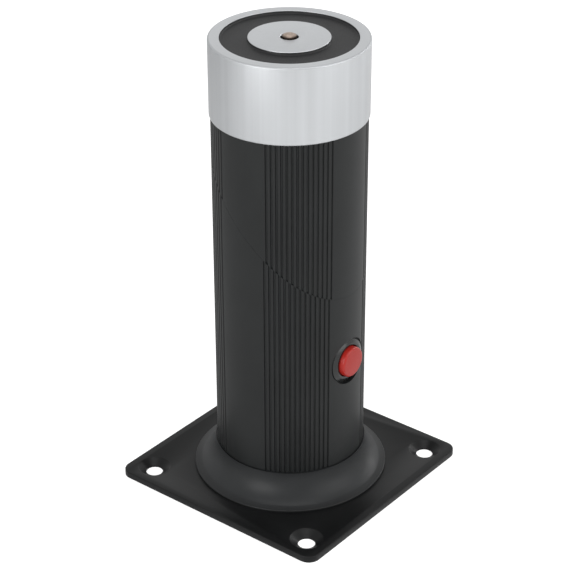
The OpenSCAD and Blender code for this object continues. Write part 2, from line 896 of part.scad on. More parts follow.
// The turned steel pot: rim, floor and centre pole, with a spigot that fits the head tube
module magnet_pot() {
    sink_r = pin_sink_d / 2;
    hole_r = pin_r + slip;
    color("#c9cbce")
    difference() {
        rotate_extrude()
            polygon([
                [chamber_r, pot_low], [plug_r - pot_chamfer, pot_low],
                [plug_r, pot_low + pot_chamfer], [plug_r, pot_bottom],
                [pot_r - pot_chamfer, pot_bottom], [pot_r, pot_bottom + pot_chamfer],
                [pot_r, total_h - pot_chamfer], [pot_r - pot_chamfer, total_h],
                [coil_out_r, total_h], [coil_out_r, coil_floor], [pole_r, coil_floor],
                [pole_r, total_h], [sink_r, total_h], [hole_r, total_h - sink_r + hole_r],
                [hole_r, chamber_top], [chamber_r, chamber_top]]);
        translate([0, coil_mid_r, pot_low - eps]) cylinder(r = grommet_r, h = reach);
        at_head_screws() translate([0, 0, pot_low - eps])
            cylinder(r = m4_r + seat_gap, h = head_screw_hole);
    }
}

// The moulded former on which the coil is wound
module coil_bobbin() {
    low = coil_floor + seat_gap;
    high = potting_low - seat_gap;
    color("#d9d4c4")
    difference() {
        rotate_extrude()
            polygon([
                [former_in, low], [former_out, low], [former_out, low + former_wall],
                [former_in + former_wall, low + former_wall],
                [former_in + former_wall, high - former_wall],
                [former_out, high - former_wall], [former_out, high], [former_in, high]]);
        translate([0, coil_mid_r, 0]) cylinder(r = lead_hole_r, h = coil_floor + former_wall + 1);
    }
}

module coil_winding() {
    low = coil_floor + former_wall + 2 * seat_gap;
    color("#a8602c")
    translate([0, 0, low])
        ring(former_out - winding_margin, former_in + former_wall + seat_gap,
            potting_low - former_wall - 2 * seat_gap - low);
}

// The potting that closes the coil's space below the face
module coil_cover() {
    color("#101012")
    translate([0, 0, potting_low])
        ring(coil_out_r - seat_gap, pole_r + seat_gap, potting_thick);
}

// The screwed plug that holds the push-off spring in the pole
module pin_retainer() {
    slot = 1.2;
    color("#b5893c")
    translate([0, 0, pot_low + seat_gap])
        difference() {
            cylinder(r = chamber_r - seat_gap, h = retainer_h - seat_gap);
            translate([0, 0, -eps]) cylinder(r = retainer_bore_r, h = retainer_h);
            translate([-chamber_r, -slot / 2, -eps]) cube([2 * chamber_r, slot, slot]);
        }
}

// The collared bush through which the coil's leads leave the pot
module lead_grommet() {
    color("#26262a")
    translate([0, coil_mid_r, pot_low]) difference() {
        union() {
            translate([0, 0, -grommet_collar])
                cylinder(r = grommet_r + grommet_collar, h = grommet_collar - seat_gap);
            translate([0, 0, -grommet_step])
                cylinder(r = grommet_r - seat_gap, h = coil_floor - pot_low + grommet_step);
        }
        translate([0, 0, -1]) cylinder(r = lead_hole_r, h = reach);
    }
}

// Two leads from the coil to the middle of the hollow pivot
module coil_leads() {
    turn_z = head_seat_z + lead_hole_r;
    turn_y = head_boss_r - lead_end;
    color("#a3262c")
    for (x = [-lead_pair, lead_pair])
        wire([
            [x, coil_mid_r, coil_floor + former_wall],
            [x, coil_mid_r, turn_z],
            [x, turn_y, turn_z],
            on_axis(x, head_boss_len + bolt_head_h + lead_bend),
            on_axis(x, 2 * seam)], lead_r, 2 * lead_r);
}

// The sprung pin that pushes the door's plate off when the current stops
module push_off_pin() {
    top = total_h + pin_proud;
    dome = 0.45;
    dome_r = (pin_r * pin_r + dome * dome) / (2 * dome);
    collar_top = chamber_top - seat_gap;
    color("#c7c2bd")
    rotate_extrude() {
        intersection() {
            translate([0, collar_top - collar_h]) square([pin_r, top - collar_top + collar_h]);
            translate([0, top - dome_r]) circle(r = dome_r);
        }
        translate([0, collar_top - collar_h]) square([collar_r, collar_h]);
        translate([0, collar_top - collar_h - pin_tail]) square([pin_tail_r, pin_tail + eps]);
    }
}

module pin_spring() {
    low = pot_low + retainer_h;
    color("#c9cacc")
    translate([0, 0, low])
        spring(pin_spring_r, pin_spring_wire_r, chamber_top - seat_gap - collar_h - low,
            pin_spring_turns);
}

base_flange();
tie_screws();
foot_tube();
foot_plug();
stop_pin();
thrust_washer();
disc_springs();
switch_body();
switch_saddle();
switch_nut();
switch_base();
fixed_contacts();
terminal_block();
terminal_inserts();
terminal_screws();
block_screws();
suppressor();
switch_leads();
feed_leads();
button_cap();
contact_bridge();
button_spring();
head_tube();
head_plug();
plug_screws();
pivot_bolt();
pivot_nut();
magnet_pot();
coil_bobbin();
coil_winding();
coil_cover();
pin_retainer();
lead_grommet();
coil_leads();
push_off_pin();
pin_spring();
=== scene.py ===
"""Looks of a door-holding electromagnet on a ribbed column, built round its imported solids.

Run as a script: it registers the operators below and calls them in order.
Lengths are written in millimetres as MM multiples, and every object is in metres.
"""

import json
import math

import bmesh
import bpy
from bpy.props import FloatProperty, FloatVectorProperty, IntProperty, PointerProperty
from bpy.types import Operator, Panel, PropertyGroup
from mathutils import Matrix, Vector
from mathutils.geometry import tessellate_polygon


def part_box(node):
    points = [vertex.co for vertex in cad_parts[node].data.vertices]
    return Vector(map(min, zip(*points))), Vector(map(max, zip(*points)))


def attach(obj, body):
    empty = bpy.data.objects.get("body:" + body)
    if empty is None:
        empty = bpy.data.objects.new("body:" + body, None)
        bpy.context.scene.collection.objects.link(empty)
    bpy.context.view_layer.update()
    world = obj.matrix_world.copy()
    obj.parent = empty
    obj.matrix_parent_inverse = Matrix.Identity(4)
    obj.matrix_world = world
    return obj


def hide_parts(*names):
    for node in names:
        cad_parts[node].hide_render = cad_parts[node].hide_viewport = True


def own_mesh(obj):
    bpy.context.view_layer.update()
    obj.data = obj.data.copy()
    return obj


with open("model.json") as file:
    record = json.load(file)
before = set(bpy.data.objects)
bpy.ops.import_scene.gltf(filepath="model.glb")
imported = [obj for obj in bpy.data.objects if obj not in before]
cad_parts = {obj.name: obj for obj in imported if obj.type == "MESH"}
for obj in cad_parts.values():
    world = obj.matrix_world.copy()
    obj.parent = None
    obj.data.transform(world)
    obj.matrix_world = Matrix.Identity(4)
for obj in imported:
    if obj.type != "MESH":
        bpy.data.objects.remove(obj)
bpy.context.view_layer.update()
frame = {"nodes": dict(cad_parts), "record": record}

bl_info = {
    "name": "Holding electromagnet",
    "version": (1, 0, 0),
    "blender": (4, 5, 0),
    "location": "3D View > Sidebar > Magnet",
    "description": "Column, base, pot magnet and push-button of a door-holding electromagnet",
    "category": "Object",
}

MM = 0.001
MITRE_TILT = math.radians(45)
FRAME_PIXELS = 580
SENSOR_MM = 36


def node_top(node):
    """Height of a solid's highest point."""
    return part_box(node)[1][2]


def node_low(node):
    """Height of a solid's lowest point."""
    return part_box(node)[0][2]


def node_radius(node):
    """Radius of a round upright solid."""
    low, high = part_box(node)
    return (high[0] - low[0]) / 2


# Settings


def length(name, description, default):
    """A length in metres with a name and a description."""
    return FloatProperty(name=name, description=description, default=default, subtype="DISTANCE",
                         unit="LENGTH", precision=5)


def angle(name, description, degrees):
    """An angle with a name and a description."""
    return FloatProperty(name=name, description=description, default=math.radians(degrees),
                         subtype="ANGLE", unit="ROTATION")


def colour(name, description, default):
    """A linear colour with a name and a description."""
    return FloatVectorProperty(name=name, description=description, default=default, size=3,
                               subtype="COLOR", min=0.0, max=1.0)


class ColumnSettings(PropertyGroup):
    """Sizes of the two ribbed tubes"""

    radius: length("Tube radius", "Outer radius of both tubes", node_radius("foot_tube"))
    raw_bore: length("Raw bore", "Radius of the extrusion's own bore", 23.5 * MM)
    seat_bore: length("Seat bore", "Radius of the bored seats at the tube ends", 24.5 * MM)
    mitre_height: length("Mitre height", "Height of the middle of the mitre", 108.8 * MM)
    seam: length("Seam", "Gap between both tubes, square to the mitre", 0.06 * MM)
    groove_pitch: angle("Groove pitch", "Angle between two grooves", 3.75)
    groove_count: IntProperty(name="Grooves", description="Grooves in each band", default=14, min=2)
    groove_width: length("Groove width", "Width of a groove at half its depth", 0.58 * MM)
    groove_depth: length("Groove depth", "Depth of a groove", 0.45 * MM)
    groove_edge: length("Groove edge", "Softness of a groove's edges", 0.14 * MM)
    samples: IntProperty(name="Samples", description="Points round the section", default=1920,
                         min=192)


class BaseSettings(PropertyGroup):
    """Sizes of the cast base"""

    side: length("Plate side", "Side of the square plate", 90 * MM)
    thickness: length("Plate thickness", "Thickness of the plate", 2.5 * MM)
    corner: length("Corner radius", "Radius of the plate's corners", 4.5 * MM)
    edge: length("Edge rounding", "Rounding of the plate's edges", 0.35 * MM)
    hole_spacing: length("Hole spacing", "Distance between the floor holes", 72 * MM)
    hole_radius: length("Hole radius", "Radius of the floor holes", 3.1 * MM)
    sink_radius: length("Countersink radius", "Radius of the countersinks", 6 * MM)
    hole_land: length("Hole land", "Plain length below a countersink", 0.5 * MM)
    lip_radius: length("Lip radius", "Radius of the flare's outer lip", 35.5 * MM)
    lip_width: length("Lip width", "Width of the flatter ring inside the lip", 2.2 * MM)
    lip_step: length("Lip step", "Height of the lip above the plate", 0.9 * MM)
    lip_rise: length("Lip rise", "Rise of the flatter ring", 0.5 * MM)
    flare_top: length("Flare top", "Height of the tube's seat", 14.1 * MM)
    seat_groove: length("Seat groove", "Width and depth of the groove round the tube", 0.5 * MM)


class MagnetSettings(PropertyGroup):
    """Sizes of the pot magnet"""

    edge: length("Edge", "Rounding of the pot's outer edges", 0.6 * MM)
    rim_wall: length("Rim wall", "Wall of the rim", 4 * MM)
    pole_radius: length("Pole radius", "Radius of the centre pole", 14 * MM)
    coil_depth: length("Coil depth", "Depth of the space for the coil", 21.5 * MM)
    potting_drop: length("Potting drop", "Depth of the potting's surface below the face", 1.05 * MM)
    pin_radius: length("Pin radius", "Radius of the push-off pin", 2.55 * MM)
    pin_hole: length("Pin hole", "Radius of the hole round the pin", 3.1 * MM)
    pin_sink: length("Pin chamfer", "Radius of the chamfer round the pin", 3.3 * MM)


class ButtonSettings(PropertyGroup):
    """Sizes of the push-button"""

    height: length("Button height", "Height of the button's axis", 55 * MM)
    bezel_radius: length("Bezel radius", "Radius of the bezel", 8.3 * MM)
    bezel_drop: length("Bezel drop", "Depth of the bezel below the tube's crest", 0.3 * MM)
    spot_gap: length("Spot face gap", "Gap round the bezel", 0.45 * MM)
    barrel_radius: length("Barrel radius", "Radius of the barrel", 7 * MM)
    cap_radius: length("Cap radius", "Radius of the red cap", 5.6 * MM)
    cap_edge: length("Cap edge", "Rounding of the cap's edge", 0.8 * MM)


class SpringSettings(PropertyGroup):
    """Sizes of the wire springs"""

    button_wire: length("Button spring wire", "Radius of the button spring's wire", 0.25 * MM)
    button_turns: FloatProperty(name="Button spring turns", description="Turns of the button's spring",
                                default=6, min=3)
    pin_wire: length("Pin spring wire", "Radius of the pin spring's wire", 0.4 * MM)
    pin_turns: FloatProperty(name="Pin spring turns", description="Turns of the pin's spring",
                             default=8, min=3)


class FinishSettings(PropertyGroup):
    """Colours of the finishes that show"""

    tube: colour("Tube", "Black finish of the tubes", (0.0100, 0.0112, 0.0114))
    base: colour("Base", "Black paint of the base", (0.0068, 0.0072, 0.0075))
    pot: colour("Pot", "Silver finish of the pot", (0.575, 0.590, 0.605))
    resin: colour("Potting", "Black potting", (0.0100, 0.0102, 0.0108))
    # The pin's own tone, which shows above the painted shade on the dome's edge.
    pin: colour("Pin", "Rubbed end of the pin", (0.46, 0.37, 0.31))
    cap: colour("Cap", "Red of the cap", (0.41, 0.018, 0.012))
    bezel: colour("Bezel", "Black of the bezel", (0.0070, 0.0078, 0.0080))


class StageSettings(PropertyGroup):
    """Camera and light"""

    azimuth: angle("Azimuth", "Camera's place round the column", -51.357)
    elevation: angle("Elevation", "Camera's place above the horizon", 28.526)
    distance: length("Distance", "Camera's distance from the aim height", 0.68507)
    aim_height: length("Aim height", "Height on the column from which the camera is placed", 0.085)
    pitch: angle("Pitch", "How far the camera looks down", 29.301)
    roll: angle("Roll", "Camera's roll", -0.125)
    focal_pixels: FloatProperty(name="Focal length in pixels",
                                description="Focal length over the width of one pixel",
                                default=1935.58)


# Mesh helpers


def new_object(name, mesh):
    """Links a mesh to the scene as an object at the origin."""
    made = bpy.data.objects.new(name, mesh)
    bpy.context.scene.collection.objects.link(made)
    return made


def smooth(mesh, angle=32):
    """Smooth faces with sharp edges where the surface turns by more than an angle in degrees."""
    mesh.shade_smooth()
    mesh.set_sharp_from_angle(angle=math.radians(angle))


def mesh_from(name, points, faces):
    """A mesh from points and faces, with doubles merged and faces turned outwards."""
    mesh = bpy.data.meshes.new(name)
    mesh.from_pydata(points, [], faces)
    shape = bmesh.new()
    shape.from_mesh(mesh)
    bmesh.ops.remove_doubles(shape, verts=shape.verts, dist=1e-7)
    bmesh.ops.recalc_face_normals(shape, faces=shape.faces)
    shape.to_mesh(mesh)
    shape.free()
    return mesh


def softened(corners, steps=5):
    """A closed outline from (radius, height, rounding) corners, with an arc at each rounded one."""
    outline = []
    count = len(corners)
    for i, (r, z, rounding) in enumerate(corners):
        at = Vector((r, z))
        if not rounding:
            outline.append(at)
            continue
        before = Vector(corners[i - 1][:2]) - at
        after = Vector(corners[(i + 1) % count][:2]) - at
        half = before.angle(after) / 2
        back = min(rounding / math.tan(half), 0.49 * before.length, 0.49 * after.length)
        radius = back * math.tan(half)
        middle = at + (before.normalized() + after.normalized()).normalized() * (radius / math.sin(half))
        start = at + before.normalized() * back - middle
        end = at + after.normalized() * back - middle
        turn = start.angle_signed(end)
        for k in range(steps + 1):
            outline.append(middle + Matrix.Rotation(-turn * k / steps, 2) @ start)
    return outline


def lathe(name, outline, segments=192, axis_in=None):
    """An object turned from a closed outline of (radius, height) points, about Z or a moved Z."""
    rings = len(outline)
    points = []
    for k in range(segments):
        a = 2 * math.pi * k / segments
        for r, z in outline:
            point = Vector((r * math.cos(a), r * math.sin(a), z))
            points.append(axis_in @ point if axis_in else point)
    faces = []
    for k in range(segments):
        here = k * rings
        there = (k + 1) % segments * rings
        for i in range(rings):
            j = (i + 1) % rings
            if outline[i][0] < 1e-9 and outline[j][0] < 1e-9:
                continue
            faces.append((here + i, there + i, there + j, here + j))
    mesh = mesh_from(name, points, faces)
    smooth(mesh)
    return new_object(name, mesh)


def finish_piece(piece, body, material, slot, *nodes):
    """Gives a piece its material, its body and the solids that it stands for; the slot is not used."""
    piece.data.materials.clear()
    piece.data.materials.append(material)
    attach(piece, body)
    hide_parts(*nodes)


# Node helpers


class Nodes:
    """Small named steps that build a node tree."""

    def __init__(self, tree):
        self.tree = tree

    def put(self, socket, value):
        """Sets a socket to a value, or links it to another node's output."""
        if isinstance(value, bpy.types.NodeSocket):
            self.tree.links.new(value, socket)
        elif socket.type == "RGBA" and len(value) == 3:
            socket.default_value = (*value, 1)
        else:
            socket.default_value = value

    def node(self, kind, settings=(), **inputs):
        """Adds a node with its settings and inputs."""
        made = self.tree.nodes.new(kind)
        for name, value in dict(settings).items():
            setattr(made, name, value)
        for name, value in inputs.items():
            self.put(made.inputs[name.replace("_", " ")], value)
        return made

    def step(self, kind, operation, *values):
        """Adds a node with an operation and its inputs in order."""
        made = self.node(kind, {"operation": operation})
        for socket, value in zip(made.inputs, values):
            self.put(socket, value)
        return made.outputs

    def maths(self, operation, *values):
        return self.step("ShaderNodeMath", operation, *values)[0]

    def vector_maths(self, operation, *values):
        return self.step("ShaderNodeVectorMath", operation, *values)

    def ranged(self, value, start, end, low, high):
        """Maps a value from one range onto another."""
        return self.node("ShaderNodeMapRange", Value=value, From_Min=start, From_Max=end,
                         To_Min=low, To_Max=high).outputs[0]


def emptied(block):
    """The steps of a material's or a world's node tree, which is emptied."""
    block.use_nodes = True
    block.node_tree.nodes.clear()
    return Nodes(block.node_tree)


class Recipe(Nodes):
    """A material on Object coordinates with a Principled shader."""

    def __init__(self, name):
        self.material = bpy.data.materials.new(name)
        super().__init__(emptied(self.material).tree)
        self.shader = self.node("ShaderNodeBsdfPrincipled")
        self.node("ShaderNodeOutputMaterial", Surface=self.shader.outputs[0])
        self.place = self.node("ShaderNodeTexCoord").outputs["Object"]

    def surface(self, **inputs):
        for name, value in inputs.items():
            self.put(self.shader.inputs[name.replace("_", " ")], value)

    def stretched(self, scale):
        """Object coordinates, scaled."""
        return self.node("ShaderNodeMapping", Vector=self.place, Scale=scale).outputs[0]

    def noise(self, place, scale, detail=4.0, roughness=0.55):
        return self.node("ShaderNodeTexNoise", Vector=place, Scale=scale, Detail=detail,
                         Roughness=roughness).outputs["Fac"]

    def spread(self, value, low, high, start=0.3, end=0.7):
        """Maps the middle of a noise onto a range."""
        return self.ranged(value, start, end, low, high)

    def blend(self, factor, a, b):
        """Mixes two colours."""
        made = self.node("ShaderNodeMix", {"data_type": "RGBA"}, Factor=factor)
        self.put(made.inputs[6], a)
        self.put(made.inputs[7], b)
        return made.outputs[2]

    def mottled(self, value, tone, dark, light):
        """A tone that a noise moves between a darker and a lighter shade of itself."""
        return self.blend(self.spread(value, 0.0, 1.0), shade(tone, dark), shade(tone, light))

    def bump(self, height, strength, distance, under=None):
        made = self.node("ShaderNodeBump", Height=height, Strength=strength, Distance=distance)
        if under:
            self.put(made.inputs["Normal"], under)
        return made.outputs[0]

    def level(self, operation):
        """A vector step on the level part of the coordinates."""
        parts = self.node("ShaderNodeSeparateXYZ", Vector=self.place).outputs
        flat = self.node("ShaderNodeCombineXYZ", X=parts[0], Y=parts[1]).outputs[0]
        return self.vector_maths(operation, flat)

    def heading(self):
        """The level direction from the column's axis, as a vector of length one."""
        return self.level("NORMALIZE")["Vector"]

    def radius(self):
        """Distance from the column's axis."""
        return self.level("LENGTH")["Value"]

    def height(self):
        return self.node("ShaderNodeSeparateXYZ", Vector=self.place).outputs[2]


def shade(tone, factor):
    """A colour made lighter or darker."""
    return tuple(min(1.0, c * factor) for c in tone)


def anodised_black(tone):
    """Satin black extrusion: faint die lines along Z and a fine etched grain."""
    r = Recipe("anodised_black")
    lines = r.noise(r.stretched((2600, 2600, 14)), 1.0, 3.0)
    grain = r.noise(r.place, 5200.0, 2.0)
    cloud = r.noise(r.place, 45.0, 3.0)
    r.surface(Base_Color=r.mottled(cloud, tone, 0.85, 1.18),
              Roughness=r.spread(grain, 0.38, 0.48), Specular_IOR_Level=0.3,
              Normal=r.bump(grain, 0.12, 0.02 * MM, r.bump(lines, 0.16, 0.02 * MM)))
    return r.material


def painted_black(tone, plate_top):
    """Powder-coated casting: soft orange peel over an uneven black, with painted light that makes the
    raised flare paler than the plate.
    """
    r = Recipe("painted_black")
    peel = r.noise(r.place, 1500.0, 2.0, 0.5)
    grain = r.noise(r.place, 6000.0, 2.0)
    cloud = r.noise(r.place, 60.0, 3.0)
    # Painted light: the raised flare gets a copy of the paint three to four times paler than the plate,
    # for the light it catches.
    raised = r.spread(r.height(), 0.0, 1.0, plate_top, plate_top + 2 * MM)
    painted_light_upper = r.mottled(cloud, tone, 2.9, 3.9)
    flat = r.mottled(cloud, tone, 0.55, 0.85)
    r.surface(Base_Color=r.blend(raised, flat, painted_light_upper),
              Roughness=r.spread(grain, 0.36, 0.46), Specular_IOR_Level=0.22,
              Normal=r.bump(grain, 0.1, 0.02 * MM, r.bump(peel, 0.22, 0.03 * MM)))
    return r.material


def satin_silver(tone, outer, top, edge):
    """Turned and satin-plated steel: fine rings round the axis, painted reflection streaks on the wall,
    and a rougher outer edge with painted shade.
    """
    r = Recipe("satin_silver")
    swell = r.maths("MULTIPLY", r.radius(), 9000.0)
    rings = r.noise(r.node("ShaderNodeCombineXYZ", X=swell).outputs[0], 1.0, 2.0)
    up = r.maths("MULTIPLY", r.height(), 7000.0)
    courses = r.noise(r.node("ShaderNodeCombineXYZ", Z=up).outputs[0], 1.0, 2.0)
    cloud = r.noise(r.place, 55.0, 4.0)
    # Painted reflection: colour streaks by heading round the axis stand in for the bands that the
    # plating reflects.
    reflection_streak_noise = r.noise(r.heading(), 9.0, 3.0, 0.6)
    fine = r.noise(r.stretched((900, 900, 5200)), 1.0, 3.0)
    turned = r.bump(rings, 0.1, 0.01 * MM, r.bump(courses, 0.1, 0.01 * MM))
    plating = r.mottled(cloud, tone, 0.97, 1.03)
    painted_reflection_streaks = r.mottled(reflection_streak_noise, tone, 0.92, 1.06)
    near_wall = r.spread(r.radius(), 0.0, 1.0, outer - edge * 1.3, outer - edge * 0.6)
    near_face = r.spread(r.height(), 0.0, 1.0, top - edge * 1.3, top - edge * 0.4)
    # Painted shade: the rounded outer edge is darkened to 0.82 of the tone; the same mask also raises
    # its roughness.
    edge_roughness_and_painted_shade = r.maths("MULTIPLY", near_wall, near_face)
    # The outer wall takes 0.6 of the painted reflection streaks, the faces only the even plating.
    satin = r.blend(r.maths("MULTIPLY", near_wall, 0.6), plating, painted_reflection_streaks)
    dulled = r.spread(edge_roughness_and_painted_shade, 0.0, 0.2, 0.0, 1.0)
    r.surface(Base_Color=r.blend(edge_roughness_and_painted_shade, satin, shade(tone, 0.82)), Metallic=0.9,
              Roughness=r.maths("ADD", r.spread(fine, 0.32, 0.40), dulled), Normal=turned)
    return r.material


def potting_resin(tone):
    """Cast black resin: dull skin with slow waves and a few fine pits."""
    r = Recipe("potting_resin")
    waves = r.noise(r.place, 180.0, 2.0)
    pits = r.noise(r.place, 2600.0, 2.0)
    r.surface(Base_Color=r.mottled(waves, tone, 0.9, 1.2),
              Roughness=r.spread(pits, 0.45, 0.58), Specular_IOR_Level=0.32,
              Normal=r.bump(pits, 0.12, 0.03 * MM, r.bump(waves, 0.25, 0.05 * MM)))
    return r.material


def moulded_plastic(name, tone, roughness=0.34, specular=0.5):
    """Moulded plastic: even colour with a fine spark-eroded grain."""
    r = Recipe(name)
    grain = r.noise(r.place, 3800.0, 2.0)
    cloud = r.noise(r.place, 160.0, 2.0)
    r.surface(Base_Color=r.mottled(cloud, tone, 0.95, 1.05),
              Roughness=r.spread(grain, roughness - 0.04, roughness + 0.06),
              Specular_IOR_Level=specular, Normal=r.bump(grain, 0.08, 0.01 * MM))
    return r.material


def turned_metal(name, tone, roughness=0.32):
    """Small turned metal piece, or one made by drawing: streaked roughness and faint tool marks."""
    r = Recipe(name)
    marks = r.noise(r.stretched((700, 700, 5200)), 1.0, 3.0)
    cloud = r.noise(r.place, 220.0, 3.0)
    r.surface(Base_Color=r.mottled(cloud, tone, 0.88, 1.08),
              Metallic=1.0, Roughness=r.spread(marks, roughness - 0.05, roughness + 0.08),
              Normal=r.bump(marks, 0.1, 0.01 * MM))
    return r.material


def rubbed_pin(tone, painted_shade_top):
    """Steel pin in its tan tone on the domed end, with painted shade in dark brown on the dome's edge
    below a height.
    """
    r = Recipe("rubbed_pin")
    marks = r.noise(r.stretched((1500, 1500, 5200)), 1.0, 3.0)
    cloud = r.noise(r.place, 1400.0, 4.0)
    # Painted shade: below a height the dome's edge turns dark brown, for the shade in the gap round the
    # pin.
    painted_light_upper = r.spread(r.height(), 0.0, 1.0, painted_shade_top, painted_shade_top + 0.45 * MM)
    bright = r.mottled(cloud, tone, 0.75, 1.15)
    painted_shade_brown = (0.045, 0.032, 0.026)
    r.surface(Base_Color=r.blend(painted_light_upper, painted_shade_brown, bright), Metallic=0.9,
              Roughness=r.spread(marks, 0.34, 0.5), Normal=r.bump(cloud, 0.25, 0.02 * MM))
    return r.material


def cast_alloy(tone):
    """Plain die-cast alloy: grey, slightly mottled and dull."""
    r = Recipe("cast_alloy")
    grain = r.noise(r.place, 1800.0, 4.0)
    cloud = r.noise(r.place, 120.0, 4.0)
    r.surface(Base_Color=r.mottled(cloud, tone, 0.85, 1.1),
              Metallic=0.9, Roughness=r.spread(grain, 0.45, 0.6), Normal=r.bump(grain, 0.2, 0.03 * MM))
    return r.material


def wound_copper(tone):
    """Enamelled copper winding: one course of wire above the other."""
    r = Recipe("wound_copper")
    turns = r.node("ShaderNodeTexWave", {"bands_direction": "Z"}, Vector=r.place, Scale=620.0)
    cloud = r.noise(r.place, 300.0, 3.0)
    r.surface(Base_Color=r.mottled(cloud, tone, 0.8, 1.1),
              Metallic=0.9, Roughness=0.35, Normal=r.bump(turns.outputs["Fac"], 0.6, 0.1 * MM))
    return r.material


class Tree(Nodes):
    """A geometry node tree with named inputs."""

    def __init__(self, name):
        super().__init__(bpy.data.node_groups.new(name, "GeometryNodeTree"))
        self.tree.interface.new_socket("Geometry", in_out="OUTPUT", socket_type="NodeSocketGeometry")
        self.inputs = self.tree.nodes.new("NodeGroupInput")
        self.sockets = {}
        self.values = {}

    def value(self, name, value, kind="NodeSocketFloat"):
        """Adds a named input and returns its socket inside the tree."""
        socket = self.tree.interface.new_socket(name, in_out="INPUT", socket_type=kind)
        self.sockets[name] = socket.identifier
        self.values[name] = value
        return self.inputs.outputs[name]

    def end(self, geometry, material):
        """Realizes the geometry and gives it its material at the end of the tree."""
        real = self.node("GeometryNodeRealizeInstances", Geometry=geometry)
        painted = self.node("GeometryNodeSetMaterial", Geometry=real.outputs[0], Material=material)
        self.put(self.node("NodeGroupOutput").inputs[0], painted.outputs[0])

    def make(self, name):
        """Runs the tree on an empty mesh and returns the result as a plain mesh."""
        carrier = new_object(name + "_carrier", bpy.data.meshes.new(name + "_seed"))
        modifier = carrier.modifiers.new("shape", "NODES")
        modifier.node_group = self.tree
        for key, identifier in self.sockets.items():
            modifier[identifier] = self.values[key]
        graph = bpy.context.evaluated_depsgraph_get()
        graph.update()
        mesh = bpy.data.meshes.new_from_object(carrier.evaluated_get(graph))
        mesh.name = name
        bpy.data.objects.remove(carrier)
        return mesh


def ring_curve(t, radius, resolution):
    """A circle as a curve."""
    return t.node("GeometryNodeCurvePrimitiveCircle", {"mode": "RADIUS"}, Resolution=resolution,
                  Radius=radius).outputs[0]


def ribbed_section(t, column, shift):
    """The closed outline of the ribbed extrusion, with its bands turned by a shift."""
    radius = t.value("Tube Radius", column.radius)
    pitch = t.value("Groove Pitch", column.groove_pitch)
    half_band = t.value("Half Band", column.groove_pitch * column.groove_count / 2)
    width = t.value("Groove Width", column.groove_width)
    depth = t.value("Groove Depth", column.groove_depth)
    edge = t.value("Groove Edge", column.groove_edge)
    turn = t.value("Band Turn", MITRE_TILT + shift)
    even = (column.groove_count + 1) % 2
    first = t.value("Groove Offset", column.groove_pitch / 2 * even)
    samples = t.value("Samples", column.samples, "NodeSocketInt")
    circle = ring_curve(t, radius, samples)
    place = t.node("GeometryNodeInputPosition").outputs[0]
    parts = t.node("ShaderNodeSeparateXYZ", Vector=place).outputs
    bearing = t.maths("ARCTAN2", parts[1], parts[0])
    from_band = t.maths("WRAP", t.maths("SUBTRACT", bearing, turn), MITRE_TILT, -MITRE_TILT)
    inside = t.maths("LESS_THAN", t.maths("ABSOLUTE", from_band), half_band)
    half_pitch = t.maths("DIVIDE", pitch, 2.0)
    from_groove = t.maths("WRAP", t.maths("SUBTRACT", from_band, first), half_pitch,
                          t.maths("MULTIPLY", half_pitch, -1.0))
    off = t.maths("MULTIPLY", t.maths("ABSOLUTE", from_groove), radius)
    half_width = t.maths("DIVIDE", width, 2.0)
    fall = t.node("ShaderNodeMapRange", {"interpolation_type": "SMOOTHSTEP"}, Value=off,
                  From_Min=t.maths("SUBTRACT", half_width, edge),
                  From_Max=t.maths("ADD", half_width, edge), To_Min=1.0, To_Max=0.0)
    dip = t.maths("MULTIPLY", t.maths("MULTIPLY", fall.outputs[0], inside), depth)
    scale = t.maths("SUBTRACT", 1.0, t.maths("DIVIDE", dip, radius))
    moved = t.node("ShaderNodeVectorMath", {"operation": "SCALE"}, Vector=place, Scale=scale)
    shaped = t.node("GeometryNodeSetPosition", Geometry=circle, Position=moved.outputs[0])
    return shaped.outputs[0]


def prism_between(t, section, low, low_slope, high, high_slope):
    """A solid over a section, between two planes that may rise along Y."""
    filled = t.node("GeometryNodeFillCurve", {"mode": "NGONS"}, Curve=section).outputs[0]
    raised = t.node("GeometryNodeExtrudeMesh", {"mode": "FACES"}, Mesh=filled,
                    Offset=(0, 0, 1), Offset_Scale=1.0, Individual=False)
    floor = t.node("GeometryNodeFlipFaces", Mesh=filled).outputs[0]
    joined = t.node("GeometryNodeJoinGeometry")
    t.put(joined.inputs[0], raised.outputs["Mesh"])
    t.put(joined.inputs[0], floor)
    closed = t.node("GeometryNodeMergeByDistance", Geometry=joined.outputs[0], Distance=1e-7)
    place = t.node("GeometryNodeInputPosition").outputs[0]
    parts = t.node("ShaderNodeSeparateXYZ", Vector=place).outputs
    bottom = t.maths("ADD", low, t.maths("MULTIPLY", parts[1], low_slope))
    top = t.maths("ADD", high, t.maths("MULTIPLY", parts[1], high_slope))
    mix = t.node("ShaderNodeMix", {"data_type": "FLOAT"})
    for socket, value in zip((mix.inputs[0], mix.inputs[2], mix.inputs[3]), (parts[2], bottom, top)):
        t.put(socket, value)
    new_place = t.node("ShaderNodeCombineXYZ", X=parts[0], Y=parts[1], Z=mix.outputs[0])
    return t.node("GeometryNodeSetPosition", Geometry=closed.outputs[0],
                  Position=new_place.outputs[0]).outputs[0]


